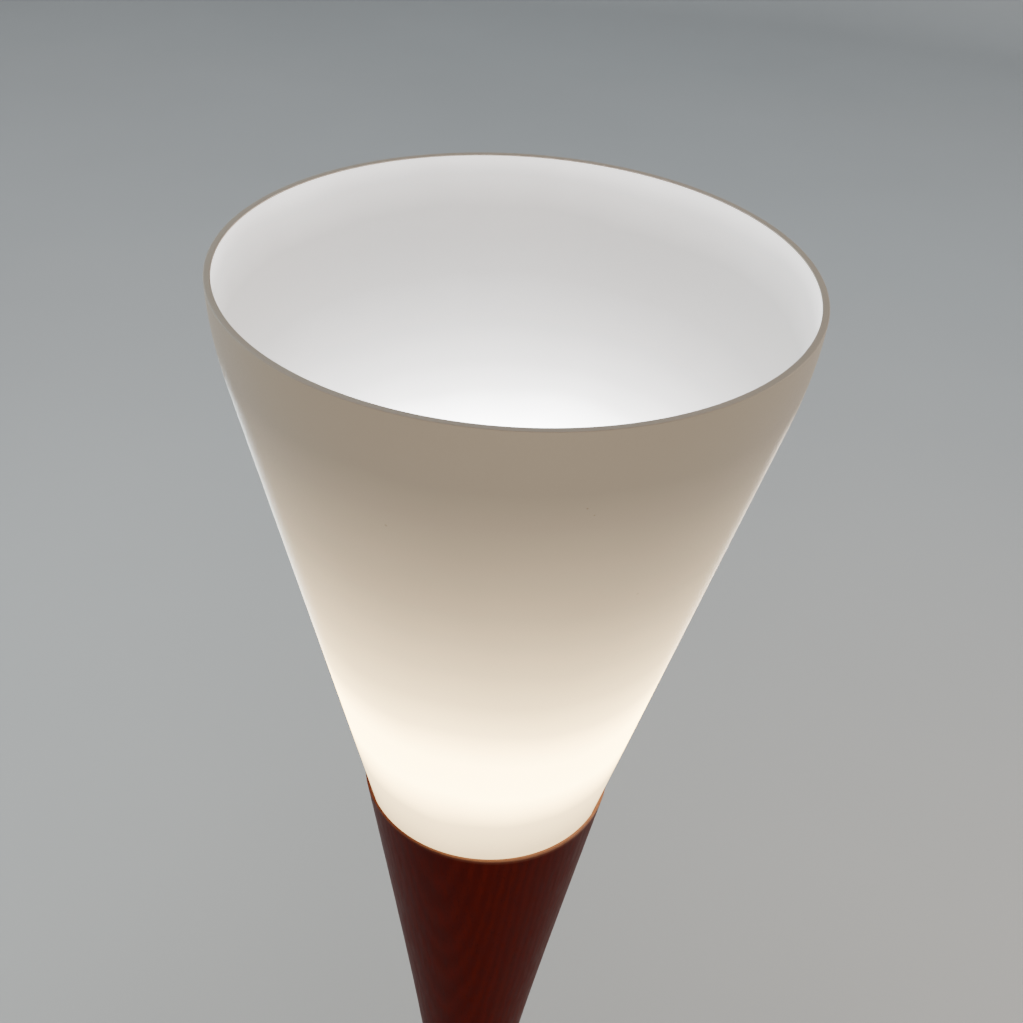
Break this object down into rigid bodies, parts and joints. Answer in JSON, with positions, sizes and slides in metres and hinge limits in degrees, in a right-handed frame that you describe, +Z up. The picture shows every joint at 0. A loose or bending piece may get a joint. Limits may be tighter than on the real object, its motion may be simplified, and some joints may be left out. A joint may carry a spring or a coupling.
{
  "type": "torchiere floor lamp",
  "caption": "Floor lamp with an open-topped opal glass cone that stands in the flared mouth of a slim turned wooden column on a round, weighted wooden foot.",
  "frame": {"origin": "on the floor, at the centre of the felt ring under the foot", "axes": "+Z up the column, -Y towards the front with the foot switch, +Y towards the mains inlet"},
  "size_m": [0.28, 0.2798, 1.5],
  "materials": {
    "opal_glass": "opal white glass, satin outside, ground rim",
    "mahogany": "deep red-brown stain under semi-gloss lacquer",
    "zinc_steel": "bright zinc plate",
    "silicone": "soft matte",
    "spun_aluminium": "spun, satin",
    "brass": "plain, slightly dulled",
    "porcelain": "white glaze",
    "black_plastic": "fine moulded texture",
    "white_plastic": "smooth moulded",
    "circuit_board": "green solder mask",
    "bulb_diffuser": "milky diffuser",
    "cast_iron": "rough as cast, black paint",
    "felt": "short nap",
    "chrome": "polished",
    "lead_blue": "extruded insulation",
    "lead_brown": "extruded insulation"
  },
  "bodies": {
    "lamp": {"column_upper": "mahogany", "column_lower": "mahogany", "wood_foot": "mahogany", "tube_lower": "zinc_steel", "tube_upper": "zinc_steel", "tube_coupler": "zinc_steel", "seat_ring": "silicone", "spun_cup": "spun_aluminium", "top_washer": "zinc_steel", "top_nut": "zinc_steel", "holder_cap": "brass", "holder_body": "porcelain", "screw_shell": "brass", "centre_contact": "brass", "terminal_screw_right": "brass", "terminal_screw_left": "brass", "base_weight": "cast_iron", "bottom_washer": "zinc_steel", "bottom_nut": "zinc_steel", "bottom_cover": "black_plastic", "cover_screw_1": "zinc_steel", "cover_screw_2": "zinc_steel", "cover_screw_3": "zinc_steel", "felt_ring": "felt", "inlet_bushing": "black_plastic", "terminal_block": "white_plastic", "block_screw": "zinc_steel", "switch_body": "black_plastic", "switch_bushing": "chrome", "switch_ring": "chrome", "switch_spring": "zinc_steel", "lead_neutral": "lead_blue", "lead_live": "lead_brown", "lead_switch_feed": "lead_brown"},
    "shade": {"glass_shade": "opal_glass"},
    "bulb_foot": {"bulb_tip": "brass", "bulb_insulator": "black_plastic"},
    "bulb": {"bulb_screw_cap": "spun_aluminium", "bulb_collar": "white_plastic", "bulb_led_board": "spun_aluminium", "bulb_driver_board": "circuit_board", "bulb_globe": "bulb_diffuser"},
    "button": {"switch_button": "chrome"}
  },
  "joints": [
    {"name": "shade_lift", "type": "slide", "parent": "lamp", "child": "shade", "axis": [0, 0, 1], "range_m": [0, 0.12]},
    {"name": "bulb_rise", "type": "slide", "parent": "lamp", "child": "bulb_foot", "axis": [0, 0, 1], "range_m": [0, 0.02]},
    {"name": "bulb_turn", "type": "hinge", "parent": "bulb_foot", "child": "bulb", "pos_m": [0, 0, 1.2], "axis": [0, 0, 1], "range_deg": [0, 1980]},
    {"name": "switch_press", "type": "slide", "parent": "lamp", "child": "button", "axis": [0, 0, -1], "range_m": [0, 0.003], "stiffness_N_per_m": 800, "springref_m": -0.002, "deforming": ["switch_spring"]}
  ],
  "couplings": [
    {"joint": "bulb_rise", "follows": "bulb_turn", "m_per_rad": 0.00057774}
  ]
}
